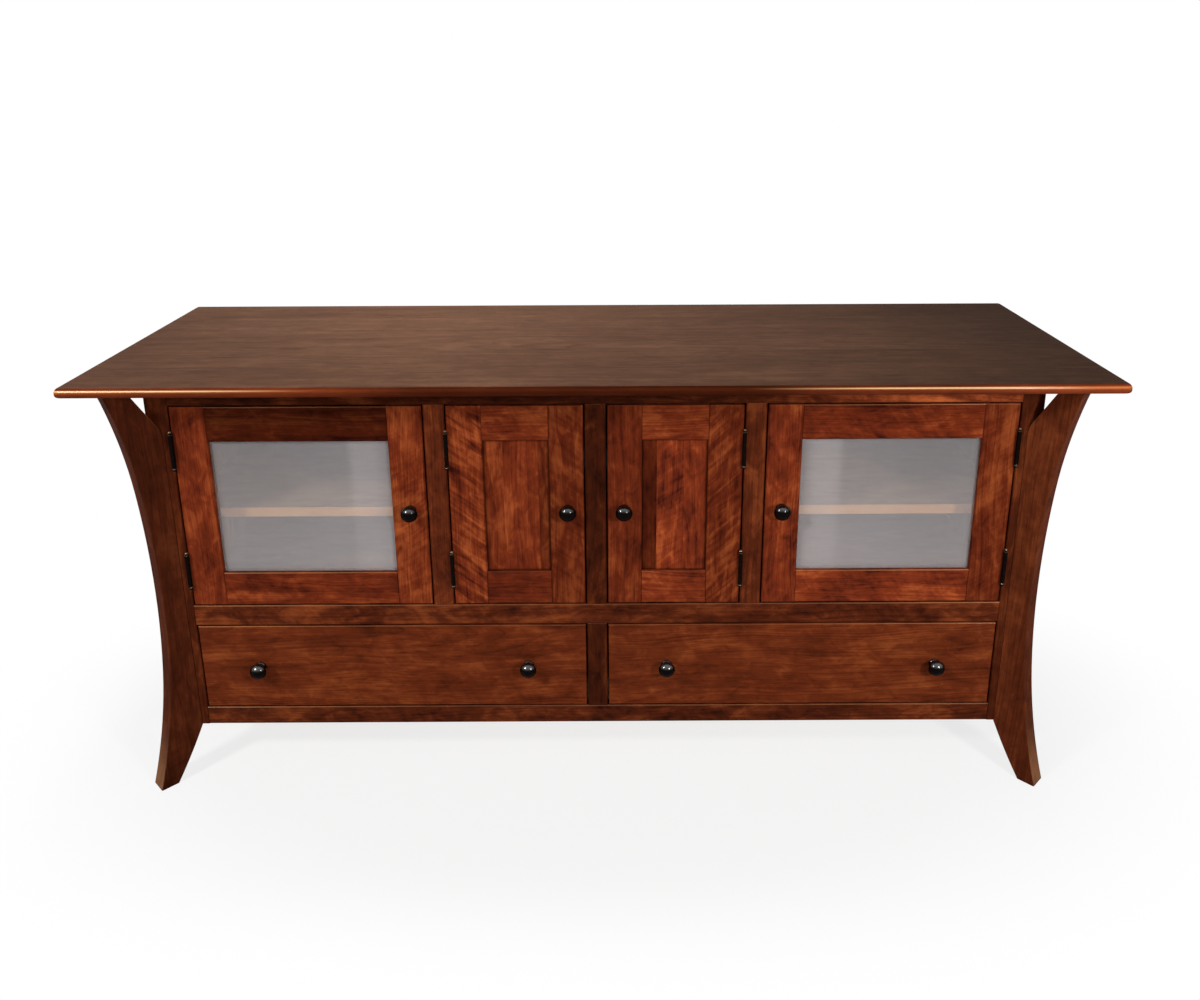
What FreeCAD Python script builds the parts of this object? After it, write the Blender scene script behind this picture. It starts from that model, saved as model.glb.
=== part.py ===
import FreeCAD, Part
import math
import os
import Sketcher

# A low media cabinet: an inset face frame with four doors over two drawers, under a wide
# overhanging top, on four flared legs that straddle the case corners.
# Millimetres. Origin on the floor under the middle; +X right, +Y back, +Z up, front at -Y.

DIMENSIONS = {
    # whole stand
    "top_width": 1829,
    "top_depth": 610,
    "stand_height": 838,
    "overhang": 102,
    # top slab and its edge
    "top_thick": 25,
    "top_corner_radius": 10,
    "nose_radius": 9,
    "brow_radius": 5,
    "bevel_height": 9,
    "bevel_depth": 34,
    # case boards
    "case_bottom": 105,
    "board_thick": 19,
    "back_thick": 6,
    "back_play": 0.5,
    "dado_depth": 6,
    "stretcher_depth": 80,
    # face frame
    "frame_thick": 20,
    "outer_stile": 40,
    "mullion_width": 38,
    "top_rail_height": 40,
    "mid_rail_height": 42,
    "bottom_rail_height": 38,
    "drawer_opening": 183,
    "outer_opening": 461,
    "eased_edge": 1.2,
    # legs: distances out from the case corner along its diagonal, and heights
    "leg_thick": 37,
    "leg_top_out": 73,
    "leg_top_in": 34.5,
    "leg_upper_out": 31.5,
    "leg_upper_height": 605,
    "leg_waist_out": 22,
    "leg_waist_height": 400,
    "leg_lower_out": 30,
    "leg_lower_height": 230,
    "leg_foot_out": 75,
    "leg_foot_in": 42,
    "leg_inner_radius": 975,
    "leg_fork_height": 722,
    "leg_fork_radius": 60,
    "leg_eased_edge": 1.5,
    # doors
    "gap": 3,
    "door_stile": 63.5,
    "door_rail": 67,
    "sticking_depth": 10,
    "front_lip": 7,
    "panel_thick": 7,
    "panel_play": 1.5,
    "glass_thick": 4,
    "knob_inset": 30,
    "knob_drop": 5,
    # knobs
    "knob_radius": 15.9,
    "knob_length": 30,
    "knob_rim_height": 18,
    "knob_foot_radius": 10.5,
    "knob_foot_height": 2.5,
    "knob_neck_radius": 8.5,
    "knob_neck_height": 8,
    "knob_flare_radius": 11,
    # hinges
    "hinge_length": 63.5,
    "hinge_top_drop": 84,
    "hinge_bottom_rise": 73,
    "barrel_radius": 3.75,
    "pin_radius": 2,
    "pin_play": 0.05,
    "leaf_thick": 1.4,
    "leaf_depth": 18,
    "hinge_play": 0.2,
    "finial_radius": 3.4,
    "collar_thick": 1,
    # drawers
    "drawer_side_thick": 13,
    "drawer_side_height": 130,
    "drawer_side_length": 350,
    "tail_length": 12,
    "tail_root": 20,
    "tail_tip": 24,
    "drawer_bottom_thick": 6,
    "drawer_bottom_rise": 8,
    "drawer_groove": 6,
    "drawer_knob_spacing": 523,
    "runner_height": 12,
    "runner_guide_height": 50,
    "runner_play": 1,
    "runner_lift": 0.2,
    # shelves and small fittings
    "shelf_setback": 25,
    "shelf_height": 533,
    "shelf_play": 1,
    "support_size": 14,
    "support_thick": 2,
    "catch_length": 40,
    "catch_drop": 110,
    "catch_depth": 28,
    "catch_width": 15,
    "catch_play": 0.5,
}


class Size:
    """A length that carries its value and the sheet expression that gives it."""

    def __init__(self, value, text):
        self.value = float(value)
        self.text = text

    def join(self, sign, other, value):
        return Size(value, f"({self.text} {sign} {size(other).text})")

    def __add__(self, other):
        return self.join("+", other, self.value + size(other).value)

    def __sub__(self, other):
        return self.join("-", other, self.value - size(other).value)

    def __mul__(self, other):
        return self.join("*", other, self.value * size(other).value)

    def __truediv__(self, other):
        return self.join("/", other, self.value / size(other).value)

    def __rsub__(self, other):
        return size(other) - self

    def __neg__(self):
        return self * -1

    def root(self):
        return Size(math.sqrt(self.value), f"sqrt({self.text})")

    __radd__ = __add__
    __rmul__ = __mul__


def size(item):
    """A plain number as a Size, or the Size itself."""
    if isinstance(item, Size):
        return item
    return Size(item, f"({float(item)})")


document = FreeCAD.newDocument("media_stand")
sheet = document.addObject("Spreadsheet::Sheet", "Dims")
for row, (alias, number) in enumerate(DIMENSIONS.items(), 1):
    sheet.set(f"A{row}", str(number))
    sheet.setAlias(f"A{row}", alias)
document.recompute()


def dim(alias):
    return Size(sheet.get(alias), f"Dims.{alias}")


XY = "XY_Plane"
XZ = "XZ_Plane"
YZ = "YZ_Plane"
HALF_TURN = FreeCAD.Rotation(FreeCAD.Vector(0, 1, 0), 180)
TO_FRONT = FreeCAD.Rotation(FreeCAD.Vector(1, 0, 0), 90)
UPRIGHT = FreeCAD.Rotation()
SIDES = ((-1, "left"), (1, "right"))
ENDS = ((-1, "front"), (1, "rear"))

# Levels, planes and widths that several pieces share
HALF_CASE = dim("top_width") / 2 - dim("overhang")
BACK = dim("top_depth") / 2 - dim("overhang")
FRONT = -BACK
BOARD = dim("board_thick")
FRAME_BACK = FRONT + dim("frame_thick")
BACK_FACE = BACK - dim("back_thick")
INSIDE = HALF_CASE - BOARD
CASE_BOTTOM = dim("case_bottom")
CASE_TOP = dim("stand_height") - dim("top_thick")
DRAWER_FLOOR = CASE_BOTTOM + dim("bottom_rail_height")
DRAWER_CEILING = DRAWER_FLOOR + dim("drawer_opening")
DOOR_FLOOR = DRAWER_CEILING + dim("mid_rail_height")
DOOR_CEILING = CASE_TOP - dim("top_rail_height")
HALF_MULLION = dim("mullion_width") / 2
STILE_IN = HALF_CASE - dim("outer_stile")
MULLION_OUT = STILE_IN - dim("outer_opening")
MULLION_MID = MULLION_OUT - HALF_MULLION
MULLION_IN = MULLION_OUT - dim("mullion_width")
GAP = dim("gap")
DOOR_BOTTOM = DOOR_FLOOR + GAP
DOOR_TOP = DOOR_CEILING - GAP
DOOR_MIDDLE = (DOOR_BOTTOM + DOOR_TOP) / 2
STICKING = dim("sticking_depth")
LIP = dim("front_lip")

nodes = []


def bind(item, name, length):
    item.setExpression(name, size(length).text)


def place(item, x, y, z, rotation=UPRIGHT):
    """Puts a piece's own origin at a point that follows the sheet."""
    spot = [size(length) for length in (x, y, z)]
    item.Placement = FreeCAD.Placement(FreeCAD.Vector(*[length.value for length in spot]), rotation)
    for axis, length in zip("xyz", spot):
        bind(item, f"Placement.Base.{axis}", length)


def keep(item, label):
    """Marks a finished piece as one of the stand's nodes."""
    item.Label = label
    nodes.append(item)
    return item


def group(label, members):
    """Like pieces that share one node, each still a solid of its own."""
    compound = document.addObject("Part::Compound", label)
    compound.Links = members
    return keep(compound, label)


def board(label, x, y, z):
    """A square-edged board between two planes along each axis."""
    box = document.addObject("Part::Box", label)
    for name, (low, high) in (("Length", x), ("Width", y), ("Height", z)):
        bind(box, name, size(high) - low)
    place(box, x[0], y[0], z[0])
    return box


def arc_between(start, end, radius):
    """An arc of under half a circle, turning left for a positive radius."""
    chord = end - start
    left = FreeCAD.Vector(-chord.y, chord.x, 0).normalize()
    rise = math.sqrt(radius * radius - chord.Length ** 2 / 4)
    centre = (start + end) / 2 + left * math.copysign(rise, radius)
    first, last = (start, end) if radius > 0 else (end, start)
    angles = [math.atan2(point.y - centre.y, point.x - centre.x) for point in (first, last)]
    circle = Part.Circle(centre, FreeCAD.Vector(0, 0, 1), abs(radius))
    return Part.ArcOfCircle(circle, angles[0], angles[1])


def draw(sketch, outline):
    """A closed outline of corners (u, v); a corner (u, v, radius) starts an arc to the next."""
    corners = [[size(length) for length in corner] for corner in outline]
    points = [FreeCAD.Vector(corner[0].value, corner[1].value, 0) for corner in corners]
    starts = []
    for number, corner in enumerate(corners):
        end = points[(number + 1) % len(points)]
        if len(corner) == 2:
            starts.append((sketch.addGeometry(Part.LineSegment(points[number], end)), 1))
            continue
        turns_left = corner[2].value > 0
        index = sketch.addGeometry(arc_between(points[number], end, corner[2].value))
        starts.append((index, 1 if turns_left else 2))
        radius = corner[2] if turns_left else -corner[2]
        rule = sketch.addConstraint(Sketcher.Constraint("Radius", index, radius.value))
        bind(sketch, f"Constraints[{rule}]", radius)
    for number, (index, start) in enumerate(starts):
        following = starts[(number + 1) % len(starts)]
        sketch.addConstraint(Sketcher.Constraint("Coincident", index, 3 - start, *following))
        for direction, length in zip(("DistanceX", "DistanceY"), corners[number]):
            rule = sketch.addConstraint(Sketcher.Constraint(direction, -1, 1, index, start, length.value))
            bind(sketch, f"Constraints[{rule}]", length)


def draw_circle(sketch, radius):
    """A circle about the sketch's own origin."""
    circle = Part.Circle(FreeCAD.Vector(), FreeCAD.Vector(0, 0, 1), radius.value)
    index = sketch.addGeometry(circle)
    sketch.addConstraint(Sketcher.Constraint("Coincident", index, 3, -1, 1))
    rule = sketch.addConstraint(Sketcher.Constraint("Radius", index, radius.value))
    bind(sketch, f"Constraints[{rule}]", radius)


def new_sketch(body, role, at=0):
    """An empty sketch on one of the body's origin planes, moved along that plane's axis."""
    sketch = body.newObject("Sketcher::SketchObject", "Outline")
    plane = next(item for item in body.Origin.OriginFeatures if item.Role == role)
    sketch.AttachmentSupport = [(plane, "")]
    sketch.MapMode = "FlatFace"
    bind(sketch, "AttachmentOffset.Base.z", -size(at) if role == XZ else size(at))
    return sketch


def outline_sketch(body, role, outlines, at=0):
    sketch = new_sketch(body, role, at)
    for outline in outlines:
        draw(sketch, outline)
    return sketch


def pad(body, sketch, length, role=XY, symmetric=False):
    """Thickens a sketch along its plane's positive axis, or to both sides of it."""
    feature = body.newObject("PartDesign::Pad", "Pad")
    feature.Profile = sketch
    feature.Reversed = role == XZ
    feature.SideType = "Symmetric" if symmetric else "One side"
    bind(feature, "Length", length)
    document.recompute()
    return feature


def pocket(body, sketch, length, role=XY, symmetric=False):
    """Cuts a sketch along its plane's positive axis, or to both sides of it."""
    before = body.Shape.Volume
    feature = body.newObject("PartDesign::Pocket", "Pocket")
    feature.Profile = sketch
    feature.Reversed = role != XZ
    feature.SideType = "Symmetric" if symmetric else "One side"
    bind(feature, "Length", length)
    document.recompute()
    if body.Shape.Volume >= before:
        raise RuntimeError(f"{body.Label}: a cut took nothing away")
    return feature


def prism(label, role, outline, low, high):
    """A body of one section between two planes across the section's axis."""
    body = document.addObject("PartDesign::Body", label)
    pad(body, outline_sketch(body, role, [outline], low), size(high) - low, role)
    return body


def revolve(label, outline):
    """A turned body about its own upright axis."""
    body = document.addObject("PartDesign::Body", label)
    sketch = outline_sketch(body, XZ, [outline])
    feature = body.newObject("PartDesign::Revolution", "Turning")
    feature.Profile = sketch
    feature.ReferenceAxis = (sketch, ["V_Axis"])
    feature.Angle = 360
    document.recompute()
    return body


def edges_where(shape, test):
    return [f"Edge{number}" for number, edge in enumerate(shape.Edges, 1) if test(edge)]


def middle(edge):
    return edge.valueAt((edge.FirstParameter + edge.LastParameter) / 2)


def soften(body, kind, edges, length):
    """Rounds or bevels named edges of a body's last feature."""
    base = body.Tip
    feature = body.newObject(f"PartDesign::{kind}", kind)
    feature.Base = (base, edges)
    bind(feature, "Radius" if kind == "Fillet" else "Size", length)
    document.recompute()
    return feature


def rectangle(u, v):
    return [(u[0], v[0]), (u[1], v[0]), (u[1], v[1]), (u[0], v[1])]


def mirrored(side, low, high):
    """The stretch from low to high on the right, or its mirror on the left, in rising order."""
    return (low, high) if side > 0 else (-high, -low)


def upright_section(x, y, eased):
    """Plan section of an upright whose two front arrises are eased."""
    return [
        (x[0] + eased, y[0]), (x[1] - eased, y[0]), (x[1], y[0] + eased),
        (x[1], y[1]), (x[0], y[1]), (x[0], y[0] + eased),
    ]


def rail_section(y, z, eased):
    """End section of a rail whose two front arrises are eased."""
    return [
        (y[0], z[0] + eased), (y[0] + eased, z[0]), (y[1], z[0]),
        (y[1], z[1]), (y[0] + eased, z[1]), (y[0], z[1] - eased),
    ]


# Top slab

def rounded_rectangle(half_width, half_depth, radius):
    """A rectangle about the origin with its corners turned on one radius."""
    inner_width = half_width - radius
    inner_depth = half_depth - radius
    return [
        (inner_width, -half_depth, radius), (half_width, -inner_depth),
        (half_width, inner_depth, radius), (inner_width, half_depth),
        (-inner_width, half_depth, radius), (-half_width, inner_depth),
        (-half_width, -inner_depth, radius), (-inner_width, -half_depth),
    ]


def make_top():
    """A slab bevelled underneath all round to a thin edge, with a fuller round above it than below."""
    half_width = dim("top_width") / 2
    half_depth = dim("top_depth") / 2
    corner = dim("top_corner_radius")
    bevel = dim("bevel_depth")
    brow = CASE_TOP + dim("bevel_height")
    outline = rounded_rectangle(half_width, half_depth, corner)
    foot = rounded_rectangle(half_width - bevel, half_depth - bevel, corner)
    body = prism("top_panel", XY, outline, brow, dim("stand_height"))
    under = body.newObject("PartDesign::AdditiveLoft", "UnderBevel")
    under.Profile = outline_sketch(body, XY, [outline], brow)
    under.Sections = [outline_sketch(body, XY, [foot], CASE_TOP)]
    under.Ruled = True
    document.recompute()

    def rim_at(level):
        spans = [edge.BoundBox for edge in body.Shape.Edges]
        return [
            f"Edge{number}" for number, span in enumerate(spans, 1)
            if span.ZLength < 0.01 and abs(span.ZMax - level.value) < 0.01
        ]

    soften(body, "Fillet", rim_at(dim("stand_height")), dim("nose_radius"))
    soften(body, "Fillet", rim_at(brow), dim("brow_radius"))
    keep(body, "top_panel")


# Legs

def leg_outline():
    """Side view of a leg: out along the case diagonal, and up."""
    waist = (dim("leg_waist_out"), dim("leg_waist_height"))

    def sweep(bend, end):
        """Radii of two arcs from the upright waist to an end, tangent where they meet."""
        out = bend[0] - waist[0]
        along = bend[1] - waist[1]
        first = (out * out + along * along) / (2 * out)
        lean = along / first
        upright = (first - out) / first
        chord_out = end[0] - bend[0]
        chord_along = end[1] - bend[1]
        reach = chord_out * upright - chord_along * lean
        second = (chord_out * chord_out + chord_along * chord_along) / (2 * reach)
        return first, second

    top_out = (dim("leg_top_out"), CASE_TOP)
    upper = (dim("leg_upper_out"), dim("leg_upper_height"))
    lower = (dim("leg_lower_out"), dim("leg_lower_height"))
    foot_out = (dim("leg_foot_out"), size(0))
    near_upper, far_upper = sweep(upper, top_out)
    near_lower, far_lower = sweep(lower, foot_out)
    inner = -dim("leg_thick") / 2
    return [
        (*top_out, far_upper), (*upper, near_upper), (*waist, near_lower), (*lower, far_lower),
        foot_out, (dim("leg_foot_in"), size(0), -dim("leg_inner_radius")),
        (inner, CASE_BOTTOM), (inner, dim("leg_fork_height")), (dim("leg_top_in"), CASE_TOP),
    ]


def make_leg(side, end, label):
    body = document.addObject("PartDesign::Body", label)
    half = dim("leg_thick") / 2
    pad(body, outline_sketch(body, XZ, [leg_outline()]), dim("leg_thick"), XZ, symmetric=True)
    fork = edges_where(body.Shape, lambda edge: middle(edge).distanceToPoint(
        FreeCAD.Vector(-half.value, 0, dim("leg_fork_height").value)) < 1)
    soften(body, "Fillet", fork, dim("leg_fork_radius"))
    reach = dim("leg_thick")
    notch = [(size(0), size(0)), (-reach, reach), (-reach, -reach)]
    pocket(body, outline_sketch(body, XY, [notch], CASE_BOTTOM), dim("stand_height"))
    waist_out = dim("leg_waist_out").value

    def on_outer_arris(edge):
        spot = middle(edge)
        on_cheek = abs(abs(spot.y) - half.value) < 0.01
        return on_cheek and spot.x > waist_out - 1 and edge.BoundBox.ZLength > 100

    soften(body, "Chamfer", edges_where(body.Shape, on_outer_arris), dim("leg_eased_edge"))
    heading = math.degrees(math.atan2(end, side))
    place(body, side * HALF_CASE, end * BACK, 0, FreeCAD.Rotation(FreeCAD.Vector(0, 0, 1), heading))
    keep(body, label)


# Case boards

def make_side_panel(side, label):
    rabbet = BOARD / 2
    section = [
        (side * HALF_CASE, FRAME_BACK), (side * INSIDE, FRAME_BACK), (side * INSIDE, BACK_FACE),
        (side * (INSIDE + rabbet), BACK_FACE), (side * (INSIDE + rabbet), BACK), (side * HALF_CASE, BACK),
    ]
    body = prism(label, XY, section, CASE_BOTTOM, CASE_TOP)
    across = mirrored(side, INSIDE - 1, INSIDE + dim("dado_depth"))
    dados = [rectangle(across, (level - BOARD, level)) for level in (DRAWER_FLOOR, DOOR_FLOOR)]
    pocket(body, outline_sketch(body, XZ, dados, FRAME_BACK), BACK - FRAME_BACK, XZ)
    keep(body, label)


def make_case_boards():
    for side, name in SIDES:
        make_side_panel(side, f"side_panel_{name}")
    depth = (FRAME_BACK, BACK_FACE)
    seat = INSIDE + dim("dado_depth")
    keep(board("bottom_panel", (-seat, seat), depth, (DRAWER_FLOOR - BOARD, DRAWER_FLOOR)), "bottom_panel")
    keep(board("mid_deck", (-seat, seat), depth, (DOOR_FLOOR - BOARD, DOOR_FLOOR)), "mid_deck")
    half = BOARD / 2
    divider = board("drawer_divider", (-half, half), depth, (DRAWER_FLOOR, DOOR_FLOOR - BOARD))
    keep(divider, "drawer_divider")
    for name, at in (("left", -MULLION_MID), ("centre", size(0)), ("right", MULLION_MID)):
        label = f"partition_{name}"
        keep(board(label, (at - half, at + half), depth, (DOOR_FLOOR, CASE_TOP - BOARD)), label)
    wide = (-INSIDE, INSIDE)
    upper = (CASE_TOP - BOARD, CASE_TOP)
    reach = dim("stretcher_depth")
    group("top_stretchers", [
        board("stretcher_front", wide, (FRAME_BACK, FRAME_BACK + reach), upper),
        board("stretcher_rear", wide, (BACK_FACE - reach, BACK_FACE), upper),
    ])
    edge = INSIDE + BOARD / 2 - dim("back_play")
    back = board("back_panel", (-edge, edge), (BACK_FACE, BACK), (DRAWER_FLOOR - BOARD, CASE_TOP))
    keep(back, "back_panel")


# Face frame

def make_face_frame():
    depth = (FRONT, FRAME_BACK)
    eased = dim("eased_edge")
    for side, name in SIDES:
        section = upright_section(mirrored(side, STILE_IN, HALF_CASE), depth, eased)
        keep(prism(f"stile_{name}", XY, section, CASE_BOTTOM, CASE_TOP), f"stile_{name}")
    rails = (
        ("top_rail", DOOR_CEILING, CASE_TOP),
        ("mid_rail", DRAWER_CEILING, DOOR_FLOOR),
        ("bottom_rail", CASE_BOTTOM, DRAWER_FLOOR),
    )
    for label, low, high in rails:
        keep(prism(label, YZ, rail_section(depth, (low, high), eased), -STILE_IN, STILE_IN), label)
    uprights = []
    for name, at in (("left", -MULLION_MID), ("centre", size(0)), ("right", MULLION_MID)):
        section = upright_section((at - HALF_MULLION, at + HALF_MULLION), depth, eased)
        uprights.append(prism(f"mullion_{name}", XY, section, DOOR_FLOOR, DOOR_CEILING))
    group("mullions", uprights)
    section = upright_section((-HALF_MULLION, HALF_MULLION), depth, eased)
    keep(prism("drawer_mullion", XY, section, DRAWER_FLOOR, DRAWER_CEILING), "drawer_mullion")


# Knobs and hinges

def make_knob(label, x, z):
    """A turned mushroom knob standing on the front plane."""
    rim = (dim("knob_radius"), dim("knob_rim_height"))
    crown = dim("knob_length") - rim[1]
    dome = (rim[0] * rim[0] + crown * crown) / (2 * crown)
    neck = (dim("knob_neck_radius"), dim("knob_neck_height"))
    foot = (dim("knob_foot_radius"), dim("knob_foot_height"))
    outline = [
        (0, 0), (foot[0], 0), (*foot, foot[1] - neck[1]), (*neck, -dim("knob_flare_radius")),
        (*rim, dome), (0, dim("knob_length")),
    ]
    body = revolve(label, outline)
    place(body, x, FRONT, z, TO_FRONT)
    return body


def hinge_leaf(label, frame_side):
    """One leaf with its knuckles about the pin axis; the frame leaf lies at -X, the door leaf at +X."""
    body = document.addObject("PartDesign::Body", label)
    half = dim("hinge_length") / 2
    third = dim("hinge_length") / 6
    play = dim("hinge_play")
    barrel = dim("barrel_radius")
    web = barrel - dim("leaf_thick")
    root = barrel + play
    tail = root + dim("leaf_depth")
    ring = new_sketch(body, XY)
    draw_circle(ring, barrel)
    draw_circle(ring, dim("pin_radius") + dim("pin_play"))
    pad(body, ring, dim("hinge_length") if frame_side else 2 * third, symmetric=True)
    if frame_side:
        clear = new_sketch(body, XY)
        draw_circle(clear, root)
        pocket(body, clear, 2 * third + 2 * play, symmetric=True)
        bite = third + play
        plate = [
            (web, -half), (tail, -half), (tail, half), (web, half),
            (web, bite), (root, bite), (root, -bite), (web, -bite),
        ]
        start = -(play / 2 + dim("leaf_thick"))
    else:
        plate = [
            (web, -third), (root, -third), (root, -half), (tail, -half),
            (tail, half), (root, half), (root, third), (web, third),
        ]
        start = play / 2
    pad(body, outline_sketch(body, YZ, [plate], start), dim("leaf_thick"), YZ)
    return body


def hinge_pin(label):
    """The pin with a ball tip at each end, just clear of the barrel."""
    pin = dim("pin_radius")
    ball = dim("finial_radius")
    end = dim("hinge_length") / 2 + dim("hinge_play")
    collar = dim("barrel_radius")
    shoulder = end + dim("collar_thick")
    tip = shoulder + (ball * ball - pin * pin).root() + ball
    outline = [
        (0, -tip, ball), (pin, -shoulder), (collar, -shoulder), (collar, -end), (pin, -end),
        (pin, end), (collar, end), (collar, shoulder), (pin, shoulder, ball), (0, tip),
    ]
    return revolve(label, outline)


# Doors

def door_stile(label, x, sticking, turned):
    """An upright of a door frame; the far one is the same piece turned end for end."""
    thick = dim("frame_thick")
    eased = dim("eased_edge")
    width = dim("door_stile")
    moulded = [(width - inset, depth) for inset, depth in sticking]
    section = [(eased, 0), (width - eased, 0), (width, eased), *moulded, (0, thick), (0, eased)]
    body = prism(label, XY, section, 0, DOOR_TOP - DOOR_BOTTOM)
    place(body, x, FRONT, DOOR_TOP if turned else DOOR_BOTTOM, HALF_TURN if turned else UPRIGHT)
    return body


def door_rail(label, x, sticking, cheeks, turned):
    """A cross piece of a door frame, with end tongues that fill the sticking of the stiles."""
    thick = dim("frame_thick")
    eased = dim("eased_edge")
    height = dim("door_rail")
    length = x[1] - x[0] - 2 * dim("door_stile") + 2 * STICKING
    moulded = [(depth, height - inset) for inset, depth in reversed(sticking)]
    section = [(0, eased), (eased, 0), (thick, 0), *moulded, (eased, height), (0, height - eased)]
    body = prism(label, YZ, section, 0, length)
    ends = ((-1, STICKING), (length - STICKING, length + 1))
    outlines = [rectangle(end, cheek) for end in ends for cheek in cheeks]
    pocket(body, outline_sketch(body, XY, outlines, -1), height + 2)
    inset = dim("door_stile") - STICKING
    if turned:
        place(body, x[1] - inset, FRONT, DOOR_TOP, HALF_TURN)
    else:
        place(body, x[0] + inset, FRONT, DOOR_BOTTOM)
    return body


def make_door(label, x, hinge_side, glazed):
    """A framed door between two upright planes, with its fill, knob and hinge leaves."""
    thick = dim("frame_thick")
    if glazed:
        sticking = [(0, LIP), (STICKING, LIP), (STICKING, thick)]
        cheeks = [(-1, LIP)]
    else:
        groove_back = LIP + dim("panel_thick")
        sticking = [(0, LIP), (STICKING, LIP), (STICKING, groove_back), (0, groove_back), (0, thick)]
        cheeks = [(-1, LIP), (groove_back, thick + 1)]
    group(f"{label}_stiles", [
        door_stile(f"{label}_left_stile", x[0], sticking, False),
        door_stile(f"{label}_right_stile", x[1], sticking, True),
    ])
    group(f"{label}_rails", [
        door_rail(f"{label}_bottom_rail", x, sticking, cheeks, False),
        door_rail(f"{label}_top_rail", x, sticking, cheeks, True),
    ])
    inset = dim("door_stile") - STICKING
    bed = dim("door_rail") - STICKING
    play = dim("panel_play")
    fill_x = (x[0] + inset + play, x[1] - inset - play)
    fill_z = (DOOR_BOTTOM + bed, DOOR_TOP - bed - play)
    front = FRONT + LIP
    if glazed:
        glass_back = front + dim("glass_thick")
        keep(board(f"{label}_glass", fill_x, (front, glass_back), fill_z), f"{label}_glass")
        make_glass_stops(label, (x[0] + inset, x[1] - inset), (glass_back, FRAME_BACK), bed)
    else:
        panel = board(f"{label}_panel", fill_x, (front, front + dim("panel_thick")), fill_z)
        keep(panel, f"{label}_panel")
    free_edge = x[1] if hinge_side < 0 else x[0]
    knob_x = free_edge + hinge_side * dim("knob_inset")
    knob = make_knob(f"{label}_knob", knob_x, DOOR_MIDDLE - dim("knob_drop"))
    keep(knob, f"{label}_knob")
    make_door_hinges(label, (x[0] if hinge_side < 0 else x[1]) + hinge_side * GAP / 2, hinge_side)


def make_glass_stops(label, x, y, bed):
    """Four strips that hold the glass in its rabbet from behind."""
    low = DOOR_BOTTOM + bed
    high = DOOR_TOP - bed
    strip = STICKING - 1
    group(f"{label}_stops", [
        board(f"{label}_stop_left", (x[0], x[0] + strip), y, (low, high)),
        board(f"{label}_stop_right", (x[1] - strip, x[1]), y, (low, high)),
        board(f"{label}_stop_low", (x[0] + strip, x[1] - strip), y, (low, low + strip)),
        board(f"{label}_stop_high", (x[0] + strip, x[1] - strip), y, (high - strip, high)),
    ])


hinge_frame_leaves = []
hinge_pins = []


def make_door_hinges(label, x, hinge_side):
    """Two butt hinges in the gap beside a door, their barrels just proud of the front."""
    axis = FRONT - dim("barrel_radius") - dim("hinge_play")
    turn = UPRIGHT if hinge_side < 0 else HALF_TURN
    door_leaves = []
    for place_name, z in (
        ("upper", DOOR_TOP - dim("hinge_top_drop")), ("lower", DOOR_BOTTOM + dim("hinge_bottom_rise")),
    ):
        name = f"{label}_{place_name}"
        pieces = (
            (hinge_leaf(f"{name}_frame_leaf", True), hinge_frame_leaves),
            (hinge_leaf(f"{name}_door_leaf", False), door_leaves),
            (hinge_pin(f"{name}_pin"), hinge_pins),
        )
        for piece, members in pieces:
            place(piece, x, axis, z, turn)
            members.append(piece)
    group(f"{label}_hinge_leaves", door_leaves)


def make_doors():
    outer = (MULLION_OUT + GAP, STILE_IN - GAP)
    inner = (HALF_MULLION + GAP, MULLION_IN - GAP)
    for side, name in SIDES:
        make_door(f"{name}_glass_door", mirrored(side, *outer), side, True)
        make_door(f"{name}_panel_door", mirrored(side, *inner), side, False)
    group("hinge_frame_leaves", hinge_frame_leaves)
    group("hinge_pins", hinge_pins)


# Drawers and their runners

TAILS = 4


def dovetails(low, high):
    """Outlines of the tails at the front of a drawer side: back to front, and up."""
    end = FRAME_BACK - dim("tail_length")
    root = dim("tail_root") / 2
    tip = dim("tail_tip") / 2
    pitch = (high - low) / TAILS
    centres = [low + pitch * (number + 0.5) for number in range(TAILS)]
    return [
        [(FRAME_BACK, at - root), (end, at - tip), (end, at + tip), (FRAME_BACK, at + root)]
        for at in centres
    ]


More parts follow.
